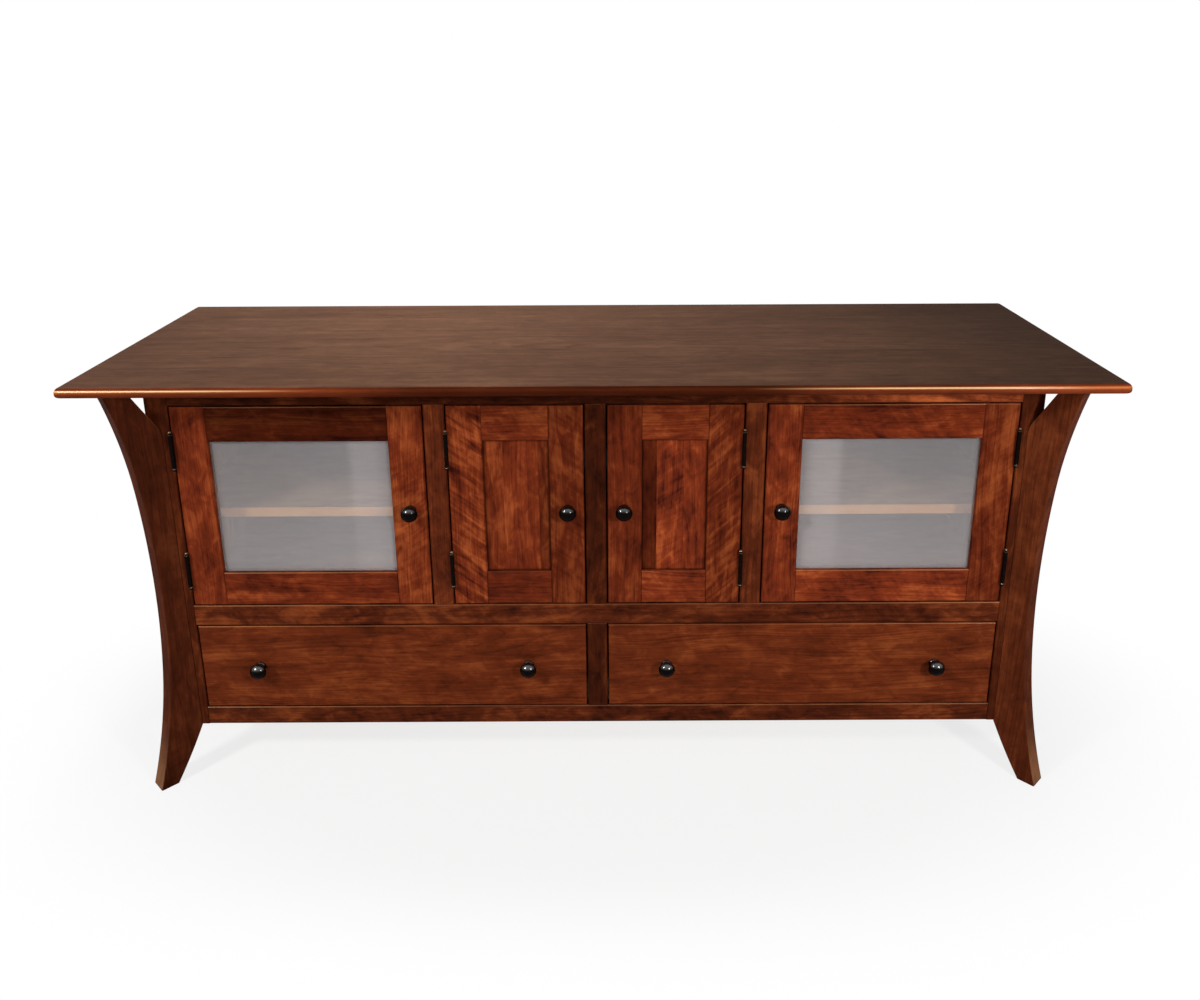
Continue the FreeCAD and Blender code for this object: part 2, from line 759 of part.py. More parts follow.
def make_drawer(side, label):
    """A slab-fronted drawer: sides dovetailed into its front, a bottom slid in under the back."""
    front_x = mirrored(side, HALF_MULLION + GAP, STILE_IN - GAP)
    front_z = (DRAWER_FLOOR + GAP, DRAWER_CEILING - GAP)
    thick = dim("drawer_side_thick")
    groove = dim("drawer_groove")
    inside = (front_x[0] + thick, front_x[1] - thick)
    low = DRAWER_FLOOR + dim("runner_height") + dim("runner_lift")
    high = low + dim("drawer_side_height")
    bed = low + dim("drawer_bottom_rise")
    bottom_z = (bed, bed + dim("drawer_bottom_thick"))
    bottom_x = (inside[0] - groove, inside[1] + groove)
    groove_front = FRAME_BACK - groove
    rear = FRAME_BACK + dim("drawer_side_length")
    tails = dovetails(low, high)

    front = document.addObject("PartDesign::Body", f"{label}_front")
    face = outline_sketch(front, XZ, [rectangle(front_x, front_z)], FRONT)
    pad(front, face, dim("frame_thick"), XZ)
    arrises = edges_where(front.Shape, lambda edge: edge.BoundBox.YMax < FRONT.value + 0.01)
    soften(front, "Fillet", arrises, dim("eased_edge"))
    for start in (front_x[0], inside[1]):
        pocket(front, outline_sketch(front, YZ, tails, start), thick, YZ)
    slot = outline_sketch(front, XZ, [rectangle(inside, bottom_z)], groove_front)
    pocket(front, slot, groove, XZ)
    keep(front, f"{label}_front")

    side_view = [(rear, low), (FRAME_BACK, low)]
    for tail in tails:
        side_view += tail
    side_view += [(FRAME_BACK, high), (rear, high)]
    sides = []
    for name, x, cut in (
        ("left", (front_x[0], inside[0]), (bottom_x[0], inside[0] + 1)),
        ("right", (inside[1], front_x[1]), (inside[1] - 1, bottom_x[1])),
    ):
        body = prism(f"{label}_{name}_side", YZ, side_view, *x)
        slot = outline_sketch(body, XZ, [rectangle(cut, bottom_z)], groove_front)
        pocket(body, slot, rear - groove_front + 1, XZ)
        sides.append(body)
    group(f"{label}_sides", sides)
    keep(board(f"{label}_back", inside, (rear - thick, rear), (bottom_z[1], high)), f"{label}_back")
    keep(board(f"{label}_bottom", bottom_x, (groove_front, rear), bottom_z), f"{label}_bottom")
    centre = (front_x[0] + front_x[1]) / 2
    half = dim("drawer_knob_spacing") / 2
    height = (front_z[0] + front_z[1]) / 2
    group(f"{label}_knobs", [
        make_knob(f"{label}_left_knob", centre - half, height),
        make_knob(f"{label}_right_knob", centre + half, height),
    ])
    return front_x


def make_runner(label, wall, box_edge, inward):
    """An L-shaped strip: a ledge under a drawer side and a guide beside it."""
    ledge = box_edge + inward * (dim("drawer_side_thick") + dim("runner_play"))
    guide = box_edge - inward * dim("runner_play")
    top = DRAWER_FLOOR + dim("runner_height")
    guide_top = DRAWER_FLOOR + dim("runner_guide_height")
    section = [
        (wall, DRAWER_FLOOR), (ledge, DRAWER_FLOOR), (ledge, top),
        (guide, top), (guide, guide_top), (wall, guide_top),
    ]
    return prism(label, XZ, section, FRAME_BACK, BACK_FACE)


def make_drawers():
    runners = []
    for side, name in SIDES:
        box_x = make_drawer(side, f"{name}_drawer")
        walls = mirrored(side, BOARD / 2, INSIDE)
        runners.append(make_runner(f"{name}_drawer_left_runner", walls[0], box_x[0], 1))
        runners.append(make_runner(f"{name}_drawer_right_runner", walls[1], box_x[1], -1))
    group("drawer_runners", runners)


# Shelves and small fittings

def make_shelves():
    low = dim("shelf_height")
    play = dim("shelf_play")
    front = FRAME_BACK + dim("shelf_setback")
    flange = dim("support_size")
    thin = dim("support_thick")
    near = MULLION_MID + BOARD / 2
    shelves = []
    supports = []
    for side, name in SIDES:
        x = mirrored(side, near + play, INSIDE - play)
        shelves.append(board(f"shelf_{name}", x, (front, BACK_FACE - play), (low, low + BOARD)))
        for wall, inward in ((side * near, side), (side * INSIDE, -side)):
            skin = wall + inward * thin
            tip = wall + inward * flange
            section = [
                (wall, low - flange), (skin, low - flange), (skin, low - thin),
                (tip, low - thin), (tip, low), (wall, low),
            ]
            for start in (front + flange, BACK_FACE - 3 * flange):
                supports.append(prism("shelf_support", XZ, section, start, start + flange))
    group("shelves", shelves)
    group("shelf_supports", supports)


def make_catches():
    """Small latch blocks on the partitions, just behind the free edge of each door."""
    y = (FRAME_BACK + dim("catch_play"), FRAME_BACK + dim("catch_play") + dim("catch_depth"))
    half = dim("catch_length") / 2
    height = DOOR_TOP - dim("catch_drop")
    eased = dim("eased_edge")
    blocks = []
    for side, name in SIDES:
        for wall in (MULLION_MID + BOARD / 2, BOARD / 2):
            x = mirrored(side, wall, wall + dim("catch_width"))
            section = upright_section(x, y, eased)
            blocks.append(prism("catch", XY, section, height - half, height + half))
    group("door_catches", blocks)


make_top()
for end, end_name in ENDS:
    for side, side_name in SIDES:
        make_leg(side, end, f"leg_{end_name}_{side_name}")
make_case_boards()
make_face_frame()
make_doors()
make_drawers()
make_shelves()
make_catches()

document.recompute()
for item in document.Objects:
    if "Invalid" in item.State or "Error" in item.State:
        raise RuntimeError(f"{item.Label} did not build: {item.State}")
for node in nodes:
    if node.Shape.isNull() or not node.Shape.isValid() or not node.Shape.Solids:
        raise RuntimeError(f"{node.Label} has no sound solid")

os.makedirs("parts", exist_ok=True)
for node in nodes:
    node.Shape.exportStep(f"parts/{node.Label}.step")
print(len(nodes), "nodes,", sum(len(node.Shape.Solids) for node in nodes), "solids")
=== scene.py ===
import math

import bpy
from mathutils import Matrix, Vector


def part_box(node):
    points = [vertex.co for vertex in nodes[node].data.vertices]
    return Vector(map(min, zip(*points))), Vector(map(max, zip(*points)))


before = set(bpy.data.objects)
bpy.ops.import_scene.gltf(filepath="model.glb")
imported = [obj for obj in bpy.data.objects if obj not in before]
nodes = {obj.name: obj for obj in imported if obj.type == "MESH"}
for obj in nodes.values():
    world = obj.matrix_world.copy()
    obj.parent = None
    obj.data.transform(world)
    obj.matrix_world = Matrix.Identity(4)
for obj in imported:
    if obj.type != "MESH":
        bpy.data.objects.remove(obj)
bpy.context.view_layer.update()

# A low media stand in dark stained cherry on a white studio floor. Metres, +X right, +Y back, +Z up.

# Camera, fitted to the photograph's edges: place in metres, angles in degrees, lengths in its pixels
PHOTO_WIDTH = 1200
PHOTO_HEIGHT = 1000
CAMERA_PLACE = (0.0385, -1.8942, 1.3551)
CAMERA_DOWN = 16.275
CAMERA_RIGHT = 0.07
CAMERA_ROLL = 0.239
FOCAL_PIXELS = 991.31
AXIS_PIXEL = (617.1, 356.8)
SENSOR_WIDTH = 36

# Lamps: name, place, aim, width, height, watts, beam in degrees
LAMPS = (
    ("left", (-2.15, -1.9, 2.2), (-0.2, -0.1, 0.5), 0.38, 0.38, 54, 180),
    ("right", (1.7, -2.2, 1.5), (0.1, -0.1, 0.5), 0.38, 0.38, 41, 180),
    ("over", (-0.42, 0.32, 2.3), (-0.34, 0.12, 0.85), 0.7, 0.5, 10.6, 90),
    ("rear", (0.5, 2.4, 0.62), (0.0, 0.3, 0.45), 0.8, 0.4, 20, 180),
)
WORLD_LIGHT = 0.26

# Floor: half its size, how far from its middle it fades to white, how white it is in the middle, how
# much slower it fades sideways, and features of its texture per metre
FLOOR_HALF = 14.0
WHITE_REACH = (0.45, 0.85)
WHITE_NEAR = 0.75
SIDEWAYS = 0.6
FLOOR_FEATURES = 40.0

X = Vector((1, 0, 0))
Y = Vector((0, 1, 0))
Z = Vector((0, 0, 1))
UP = (0.0, 0.0, 1.0)
WHITE = (1, 1, 1, 1)

DOORS = ("left_glass_door", "left_panel_door", "right_panel_door", "right_glass_door")
GLASS_DOORS = ("left_glass_door", "right_glass_door")
DRAWERS = ("left_drawer", "right_drawer")
SIDES = (("left", -1), ("right", 1))


def srgb(red, green, blue):
    """A screen colour of 0 to 255 as the linear colour that a shader takes."""
    def linear(part):
        part /= 255
        return part / 12.92 if part <= 0.04045 else ((part + 0.055) / 1.055) ** 2.4
    return (linear(red), linear(green), linear(blue), 1.0)


# Dark, middle and light tones of each finish
TONES = {
    "top": (srgb(52, 36, 27), srgb(77, 53, 40), srgb(100, 71, 54)),
    "case": (srgb(40, 14, 7), srgb(82, 34, 16), srgb(128, 62, 30)),
    # the left legs' tones are the right legs' darkened as painted shade
    "leg_left": (srgb(40, 16, 9), srgb(72, 31, 16), srgb(106, 52, 28)),
    "leg_right": (srgb(44, 17, 9), srgb(82, 36, 18), srgb(118, 58, 30)),
    "door": (srgb(52, 16, 9), srgb(108, 42, 20), srgb(160, 79, 39)),
    "drawer": (srgb(54, 20, 9), srgb(100, 42, 19), srgb(142, 72, 35)),
    "inside": (srgb(112, 80, 54), srgb(150, 116, 84), srgb(178, 146, 112)),
    "edging": (srgb(236, 164, 104), srgb(252, 188, 124), srgb(255, 204, 142)),
    "pale": (srgb(160, 122, 82), srgb(194, 158, 116), srgb(220, 190, 150)),
}
# Tone of the painted highlight on up-facing arrises, shown as rubbed lighter wood, and the two tones or
# the one tone of what isn't wood
ARRIS_HIGHLIGHT_TONE = srgb(214, 146, 92)
ENAMEL_TONES = (srgb(8, 4, 3), srgb(14, 8, 6))
ENAMEL_WORN = srgb(62, 48, 40)
# tone of enamel facing up on the pins, partly worn brass and partly a painted glint
ENAMEL_BARE_AND_GLINT = srgb(150, 118, 84)
ZINC_TONES = (srgb(150, 152, 156), srgb(196, 196, 192))
PLASTIC_TONES = (srgb(26, 24, 24), srgb(44, 42, 41))
FILM_TONES = (srgb(151, 146, 147), srgb(220, 212, 213))
FLOOR_TONES = (srgb(232, 232, 231), srgb(240, 240, 239))

# Their roughness, and the range of the noise that it follows
ENAMEL_ROUGHNESS = (0.12, 0.16)
ZINC_ROUGHNESS = (0.28, 0.45)
PLASTIC_ROUGHNESS = (0.5, 0.65)
GLASS_ROUGHNESS = (0.1, 0.2)
NOISE_RANGE = (0.2, 0.8)
SMEAR_RANGE = (0.3, 0.7)

# Noise layers of the wood: features per metre along and across the grain, detail, roughness, distortion
FIGURE = {
    "warp": (2.2, 8.0, 2.0, 0.5, 0.0),
    "fibre": (14.0, 700.0, 2.0, 0.6, 0.0),
    "line": (6.0, 190.0, 3.0, 0.6, 0.0),
    "streak": (1.8, 48.0, 5.0, 0.6, 0.0),
    "blotch": (8.0, 17.0, 3.0, 0.55, 0.6),
    "mottle": (26.0, 46.0, 3.0, 0.6, 0.8),
    "cloud": (2.0, 5.0, 1.0, 0.5, 0.0),
    "curl": (62.0, 14.0, 2.0, 0.5, 0.9),
    "patch": (3.5, 6.0, 1.0, 0.5, 0.0),
    "fleck": (16.0, 430.0, 1.0, 0.5, 0.0),
    "peel": (150.0, 150.0, 1.0, 0.5, 0.0),
}
# How far each layer swings the tone between dark and light
SWING = {
    "streak": 0.5, "line": 0.45, "fibre": 0.36, "blotch": 1.0, "mottle": 0.85, "cloud": 0.5, "curl": 2.2,
}
RING_TONE = -0.17
WAVINESS = 0.05
CURL_PATCH = (0.36, 0.6)
FLECK_REACH = (0.68, 0.78)
FLECK_DEPTH = 0.55

# Growth rings: how far boards lie apart in the log, where its heart line may run behind a face,
# how the rings waver, and rings per metre
BOARD_SHIFT = 9.0
HEART_SEED = 0.37
HEART_ASIDE = 0.3
HEART_DEPTH = (0.02, 0.09)
HEART_LEAN = 0.16
WARP_ASIDE = 0.06
WARP_DEPTH = 0.04
RINGS = 120.0
WOBBLES = 40.0
WOBBLE_RINGS = 4.0
RING_SHARPNESS = 5.0

# Arrises: rounding, the turn of the normal that makes an edge, how much stain and painted shade darken
# it there, bands of the normal's upward part, and how far these get a painted highlight, shown as rubbed
# lighter wood, and are polished
ARRIS_RADIUS = 0.0022
EDGE_TURN = (0.01, 0.16)
EDGE_STAIN_AND_SHADE = 0.8
CHAMFER_RISE = ((0.15, 0.4), (0.72, 0.95))
ROUND_RISE = ((-0.1, 0.4), (0.5, 0.8))
CREST_RISE = ((0.12, 0.3), (0.55, 0.7))
PAINTED_CREST_RISE = ((0.3, 0.42), (0.52, 0.64))
HIGHLIGHT_STREAKS = (0.35, 0.65, 0.6, 1.0)
CHAMFER_POLISH = 0.5
COAT_MOST = 0.45
COAT_ROUGHNESS = 0.22

# Wood's sheen: its roughness, what swings that, the bump's make-up, and two levels of specular
ROUGHNESS_LEAST = 0.32
ROUGHNESS_STREAK = 0.2
ROUGHNESS_BLOTCH = 0.12
ROUGHNESS_FIBRE = 0.06
BUMP_FIBRE = 0.5
BUMP_RING = 0.25
BUMP_PEEL = 0.5
SATIN = 0.012
MATT = 0.002

# Painted highlight on up-facing arrises, shown as rubbed wear: its strength by distance from the middle
# of the stand, and on boards inside the case, which hands seldom reach
HIGHLIGHT_REACH = (0.25, 0.8)
HIGHLIGHT_MIDDLE = 0.4
NOSE_HIGHLIGHT_MIDDLE = 0.08
HIDDEN_HIGHLIGHT = 0.2

# The top's rounded edge: its height over the board's middle, its stain, the tones of its painted
# highlight shown as rubbed and bare wood, and the places along it, left to right, between which that
# painted highlight and its stain with painted light change
NOSE_HEIGHT = 0.0121
NO_NOSE = -1.0
NOSE_STAIN = (0.62, 0.24, 0.16)
NOSE_HIGHLIGHT_TONE = srgb(206, 104, 38)
PAINTED_CREST_TONE = srgb(255, 214, 150)
LEFT_CREST = (-0.74, -0.46, 0.7, 0.0)
RIGHT_CREST = (0.25, 0.55, 0.0, 0.68)
RIGHT_CORNER = (0.7, 0.86, 1.0, 0.15)
NOSE_LIGHT_FROM_MIDDLE = (0.26, 0.5, 0.8, 2.1)
NOSE_LIGHT_TO_RIGHT = (0.62, 0.76, 1.0, 1.65)

# Boards of a node, as shares of its box where they meet
HALVES = (0.5,)
THIRDS = (0.33, 0.66)
QUARTERS = (0.25, 0.5, 0.75)
TOP_BOARDS = (0.18, 0.37, 0.59, 0.8)
SIDE_BOARDS = (0.3, 0.62)
MULLIONS = (0.25, 0.75)

# Painted light and shade along a node: axis, two places, brightness at each
# painted shade: the top darker towards its right end
TOP_PAINTED_SHADE = (0, 0.5, 0.95, 1.0, 0.75)
# painted shade: the left legs darker towards the foot
LEG_PAINTED_SHADES = {"left": (2, 0.0, 0.16, 0.55, 1.0), "right": None}
# painted light: the top rail lighter towards the right, where light reaches under the top
TOP_RAIL_PAINTED_LIGHT = (0, 0.2, 0.65, 1.0, 4.5)

# Brightness of each rail, and the painted shadow along a panel's sides in its recess, with the distances
# between which that ends
# the top rail's low brightness is painted shadow under the top's overhang
RAIL_SHADES = {"top_rail": 0.52, "mid_rail": 0.94, "bottom_rail": 0.94}
RECESS_SHADOW_SHADE = 0.25
PANEL_RECESS_SHADOW = (0.0085, 0.0135)

# Seeds of the draws that tell boards apart
LEG_SEEDS = {"leg_front_left": 61, "leg_front_right": 66, "leg_rear_left": 58, "leg_rear_right": 63}
DOOR_SEED = 200
DRAWER_SEED = 300
SEED_STEP = 20

# Boards of each door: brightness of the stiles, left and right, and of the rails, low and high; the
# stiles' curly figure and its lean; where the panel's three strips meet and their brightness
DOOR_BOARDS = {
    # the left glass door's upper rail, at 0.35, is painted shadow under the top
    "left_glass_door": ((0.99, 0.93), (0.93, 0.35), (0.1, 0.4), 0.6, (), ()),
    "left_panel_door": ((0.95, 0.65), (0.9, 0.88), (0.65, 0.25), -0.75, (0.32, 0.79), (0.9, 1.0, 0.6)),
    "right_panel_door": ((0.81, 0.72), (1.1, 0.93), (0.0, 0.5), 0.9, (0.26, 0.62), (0.56, 1.3, 1.18)),
    "right_glass_door": ((1.1, 0.74), (1.2, 0.98), (0.2, 0.2), 0.6, (), ()),
}

# Black enamel: how far hinge pins are rubbed to brass and lightened as a painted glint, radii over which
# the gloss runs smoothly, and the bands of turn and upward part that are rubbed, lightened as a painted
# glint, or polished
PIN_WEAR_AND_GLINT = 0.6
HINGE_ROUNDING = 0.0006
KNOB_ROUNDING = 0.004
ENAMEL_EDGE = (0.02, 0.3, 0.0, 0.5)
WEAR_AND_GLINT_RISE = (0.1, 0.7)
POLISHED_RISE = (0.3, 0.68)

# Film on the glass: how thick it is at the least; how much lighter it gets towards the middle of the
# stand and downward as painted light, and in an upright band as a painted reflection; how much it gains
# by smears; the band's sides and lower end as shares of the pane
FILM_LEAST = 0.05
PAINTED_LIGHT_INWARD = 0.15
PAINTED_LIGHT_DOWNWARD = 0.35
PAINTED_REFLECTION_BAND = 0.3
FILM_SMEAR = 0.2
BAND_STARTS = (0.73, 0.79)
BAND_STOPS = (0.88, 0.94)
BAND_REST = 0.4
BAND_LOWER_END = (0.4, 0.6)
BAND_BELOW = 0.5

# Places of a Mix node's two values and of its result, by data type
MIX_PLACES = {"RGBA": (6, 7, 2), "VECTOR": (4, 5, 1)}

WOOD_INPUTS = {
    "Vector": "Vector", "Board": "Float", "Dark": "Color", "Middle": "Color", "Light": "Color",
    "Blotch": "Float", "Curl": "Float", "Highlight": "Float", "Shade": "Float", "Nose": "Float",
    "Slant": "Float", "Crest": "Float", "Edge": "Color", "HighlightTone": "Color", "PaintedCrest": "Color",
}
WOOD_OUTPUTS = {
    "Color": "Color", "Roughness": "Float", "Normal": "Vector", "Gloss": "Float", "Smooth": "Vector",
}


class Graph:
    """Short ways to add and wire nodes in one tree."""

    def __init__(self, tree):
        self.tree = tree

    def put(self, socket, value):
        if isinstance(value, bpy.types.NodeSocket):
            self.tree.links.new(value, socket)
        else:
            socket.default_value = value

    def node(self, kind, inputs=(), **settings):
        made = self.tree.nodes.new("ShaderNode" + kind)
        for name, value in settings.items():
            setattr(made, name, value)
        for name, value in dict(inputs).items():
            self.put(made.inputs[name], value)
        return made

    def math(self, operation, *values, clamp=False):
        made = self.node("Math", operation=operation, use_clamp=clamp)
        for number, value in enumerate(values):
            self.put(made.inputs[number], value)
        return made.outputs[0]

    def vector(self, operation, *values):
        made = self.node("VectorMath", operation=operation)
        for number, value in enumerate(values):
            self.put(made.inputs[number], value)
        return made.outputs["Value" if operation in ("DOT_PRODUCT", "LENGTH") else "Vector"]

    def scale(self, vector, factor):
        made = self.node("VectorMath", {"Scale": factor}, operation="SCALE")
        self.put(made.inputs[0], vector)
        return made.outputs["Vector"]

    def split(self, vector):
        """The X, Y and Z of a vector."""
        return self.node("SeparateXYZ", {"Vector": vector}).outputs

    def joined(self, x, y, z):
        return self.node("CombineXYZ", {"X": x, "Y": y, "Z": z}).outputs[0]

    def mix(self, factor, first, second, blend="MIX", kind="RGBA"):
        first_place, second_place, result_place = MIX_PLACES[kind]
        made = self.node("Mix", data_type=kind, blend_type=blend, clamp_factor=True)
        for number, value in ((0, factor), (first_place, first), (second_place, second)):
            self.put(made.inputs[number], value)
        return made.outputs[result_place]

    def spread(self, value, low, high, to_low=0.0, to_high=1.0):
        """A value between low and high eased onto another range."""
        made = self.node("MapRange", {
            "Value": value, "From Min": low, "From Max": high, "To Min": to_low, "To Max": to_high,
        }, interpolation_type="SMOOTHSTEP")
        return made.outputs["Result"]

    def band(self, value, rising, falling, rest=0.0):
        """0 before a rising slope, 1 up to a falling one and rest after it."""
        fall = self.spread(value, *falling, 1.0, rest)
        return self.math("MULTIPLY", self.spread(value, *rising), fall)

    def noise(self, vector, stretch, detail=2.0, roughness=0.5, distortion=0.0):
        """Noise whose features number stretch per metre along each axis."""
        return self.node("TexNoise", {
            "Vector": self.vector("MULTIPLY", vector, stretch), "Scale": 1.0, "Detail": detail,
            "Roughness": roughness, "Distortion": distortion,
        }).outputs

    def even_noise(self, vector, features, detail):
        """Noise with that many features per metre every way."""
        return self.noise(vector, (features, features, features), detail)[0]

    def figure(self, layer, vector):
        """One noise layer of the wood."""
        along, across, *settings = FIGURE[layer]
        return self.noise(vector, (along, across, across), *settings)

    def luck(self, seed):
        """A random vector for each seed."""
        return self.node("TexWhiteNoise", {"W": seed}, noise_dimensions="1D").outputs["Color"]

    def centred(self, value, amount):
        """A 0 to 1 value as a swing of that amount about zero."""
        return self.math("MULTIPLY", self.math("SUBTRACT", value, 0.5), amount)

    def total(self, *values):
        result = values[0]
        for value in values[1:]:
            result = self.math("ADD", result, value)
        return result

    def object_place(self):
        return self.node("TexCoord").outputs["Object"]

    def rounded(self, radius, samples):
        """The normal, turned smoothly over edges."""
        return self.node("Bevel", {"Radius": radius}, samples=samples).outputs["Normal"]

    def flat(self):
        return self.node("NewGeometry").outputs["Normal"]

    def turn(self, rounded, flat):
        """How far rounding turns the normal: 0 away from edges."""
        return self.math("SUBTRACT", 1.0, self.vector("DOT_PRODUCT", rounded, flat))


def growth_rings(graph, vector, board, warp):
    """Growth rings about a heart line that lies behind the face and leans along it."""
    heart = graph.split(graph.luck(graph.math("ADD", board, HEART_SEED)))
    bend = graph.split(warp)
    spot = graph.split(vector)
    across = graph.total(
        spot[1], graph.centred(heart[0], HEART_ASIDE), graph.math("MULTIPLY", bend[1], WARP_ASIDE))
    depth = graph.total(
        graph.spread(heart[1], 0.0, 1.0, *HEART_DEPTH),
        spot[2],
        graph.math("MULTIPLY", spot[0], graph.centred(heart[2], HEART_LEAN)),
        graph.math("MULTIPLY", bend[2], WARP_DEPTH),
    )
    radius = graph.math("SQRT", graph.math(
        "ADD", graph.math("MULTIPLY", across, across), graph.math("MULTIPLY", depth, depth)))
    wobble = graph.node("TexNoise", {
        "W": graph.math("MULTIPLY", radius, WOBBLES), "Scale": 1.0, "Detail": 2.0,
    }, noise_dimensions="1D").outputs[0]
    year = graph.math("FRACT", graph.total(
        graph.math("MULTIPLY", radius, RINGS), graph.math("MULTIPLY", wobble, WOBBLE_RINGS)))
    return graph.math("POWER", year, RING_SHARPNESS)


def wood_group():
    """Sawn and stained wood in grain coordinates: X along the grain, Y across the face, Z out of it."""
    tree = bpy.data.node_groups.new("stained_wood", "ShaderNodeTree")
    for sockets, way in ((WOOD_INPUTS, "INPUT"), (WOOD_OUTPUTS, "OUTPUT")):
        for name, kind in sockets.items():
            tree.interface.new_socket(name, in_out=way, socket_type="NodeSocket" + kind)
    graph = Graph(tree)
    given = tree.nodes.new("NodeGroupInput").outputs
    result = tree.nodes.new("NodeGroupOutput").inputs

    place = graph.vector("ADD", given["Vector"], graph.scale(graph.luck(given["Board"]), BOARD_SHIFT))
    warp = graph.vector("SUBTRACT", graph.figure("warp", place)["Color"], (0.5, 0.5, 0.5))
    ring = growth_rings(graph, given["Vector"], given["Board"], warp)

    # fibres, streaks, stain blotches, small gum flecks, the lacquer's peel and slanted curly figure
    wavy = graph.vector("ADD", place, graph.vector("MULTIPLY", warp, (0.0, WAVINESS, WAVINESS)))
    fibre = graph.figure("fibre", wavy)[0]
    line = graph.figure("line", wavy)[0]
    streak = graph.figure("streak", wavy)[0]
    blotch = graph.figure("blotch", place)[0]
    mottle = graph.figure("mottle", place)[0]
    cloud = graph.figure("cloud", place)[0]
    patch = graph.figure("patch", place)[0]
    fleck = graph.figure("fleck", place)[0]
    peel = graph.figure("peel", place)[0]
    along, across, outward = graph.split(place)
    leaning = graph.math("MULTIPLY_ADD", across, given["Slant"], along)
    curl = graph.figure("curl", graph.joined(leaning, across, outward))[0]
    curl_here = graph.math("MULTIPLY", given["Curl"], graph.spread(patch, *CURL_PATCH))

    tone = graph.total(
        graph.math("MULTIPLY_ADD", streak, SWING["streak"], 0.5 - SWING["streak"] / 2),
        graph.centred(line, SWING["line"]),
        graph.centred(fibre, SWING["fibre"]),
        graph.math("MULTIPLY", graph.centred(blotch, SWING["blotch"]), given["Blotch"]),
        graph.math("MULTIPLY", graph.centred(mottle, SWING["mottle"]), given["Blotch"]),
        graph.centred(cloud, SWING["cloud"]),
        graph.math("MULTIPLY", graph.centred(curl, SWING["curl"]), curl_here),
        graph.math("MULTIPLY", ring, RING_TONE),
    )
    lower = graph.math("MULTIPLY", tone, 2.0, clamp=True)
    upper = graph.math("MULTIPLY_ADD", tone, 2.0, -1.0, clamp=True)
    colour = graph.mix(lower, given["Dark"], given["Middle"])
    colour = graph.mix(upper, colour, given["Light"])
    colour = graph.mix(graph.spread(fleck, *FLECK_REACH, 0.0, FLECK_DEPTH), colour, given["Dark"])
    colour = graph.scale(colour, given["Shade"])

    # arrises darkened by stain and painted shade, and given a painted highlight where they face up,
    # shown as rubbed lighter wood, and polished there
    rounded = graph.rounded(ARRIS_RADIUS, samples=4)
    flat = graph.flat()
    edge = graph.spread(graph.turn(rounded, flat), *EDGE_TURN)
    rise = graph.vector("DOT_PRODUCT", rounded, UP)
    nose = graph.math("LESS_THAN", graph.split(given["Vector"])[2], given["Nose"])
    chamfer = graph.math("MULTIPLY", graph.math("SUBTRACT", 1.0, nose), graph.band(rise, *CHAMFER_RISE))
    brow = graph.math("MULTIPLY_ADD", nose, graph.band(rise, *ROUND_RISE), chamfer)
    crest = graph.math("MULTIPLY", nose, given["Crest"])
    polished = graph.math("MULTIPLY_ADD", crest, graph.band(rise, *CREST_RISE),
                          graph.math("MULTIPLY", chamfer, CHAMFER_POLISH))
    arris_highlight_mask = graph.math("MULTIPLY", brow, graph.spread(streak, *HIGHLIGHT_STREAKS))
    stain_and_shade = graph.math("MULTIPLY", edge, graph.math("MULTIPLY_ADD", brow, -EDGE_STAIN_AND_SHADE, EDGE_STAIN_AND_SHADE))
    colour = graph.mix(stain_and_shade, colour, given["Dark"])
    # the stain of the top's edge, lightened towards its ends as painted light
    colour = graph.mix(nose, colour, given["Edge"], "MULTIPLY")
    colour = graph.mix(graph.math("MULTIPLY", arris_highlight_mask, given["Highlight"]), colour, given["HighlightTone"])
    # a painted highlight along the crest of the top's edge
    painted_crest = graph.math("MULTIPLY", crest, graph.band(rise, *PAINTED_CREST_RISE))
    colour = graph.mix(painted_crest, colour, given["PaintedCrest"])

    shine = graph.total(
        graph.math("MULTIPLY_ADD", streak, ROUGHNESS_STREAK, ROUGHNESS_LEAST),
        graph.centred(blotch, ROUGHNESS_BLOTCH),
        graph.centred(fibre, ROUGHNESS_FIBRE),
    )
    height = graph.total(
        graph.math("MULTIPLY", fibre, BUMP_FIBRE),
        graph.math("MULTIPLY", ring, BUMP_RING),
        graph.math("MULTIPLY", peel, BUMP_PEEL),
    )
    bump = graph.node("Bump", {
        "Strength": 0.14, "Distance": 0.0005, "Height": height, "Normal": rounded})
    graph.put(result["Color"], colour)
    graph.put(result["Roughness"], shine)
    graph.put(result["Normal"], bump.outputs["Normal"])
    graph.put(result["Gloss"], graph.math("MULTIPLY", polished, COAT_MOST))
    graph.put(result["Smooth"], graph.mix(nose, rounded, flat, kind="VECTOR"))
    return tree


WOOD = wood_group()


def new_material(name):
    material = bpy.data.materials.new(name)
    material.use_nodes = True
    material.node_tree.nodes.clear()
    return material, Graph(material.node_tree)


def surface(graph, shader):
    """Gives a material its surface."""
    graph.put(graph.node("OutputMaterial").inputs["Surface"], shader.outputs[0])


def wear_material(item, material):
    item.data.materials.clear()
    item.data.materials.append(material)


def grain_mapping(graph, place, centre, along, face):
    """A place turned so that X runs along the grain and Z out of the face."""
    turn = Matrix((along, face.cross(along), face))
    mapping = graph.node("Mapping", {
        "Vector": place, "Rotation": turn.to_euler(), "Location": -(turn @ centre),
    }, vector_type="POINT")
    return mapping.outputs["Vector"]


def share(start, stop, part):
    """The place at a part of the way from start to stop."""
    return start + (stop - start) * part


def by_board(graph, steps, values):
    """The value of each board in turn, changing at each step along the node."""
    result = float(values[0])
    for step, before, after in zip(steps, values, values[1:]):
        result = graph.math("MULTIPLY_ADD", step, float(after - before), result)
    return result


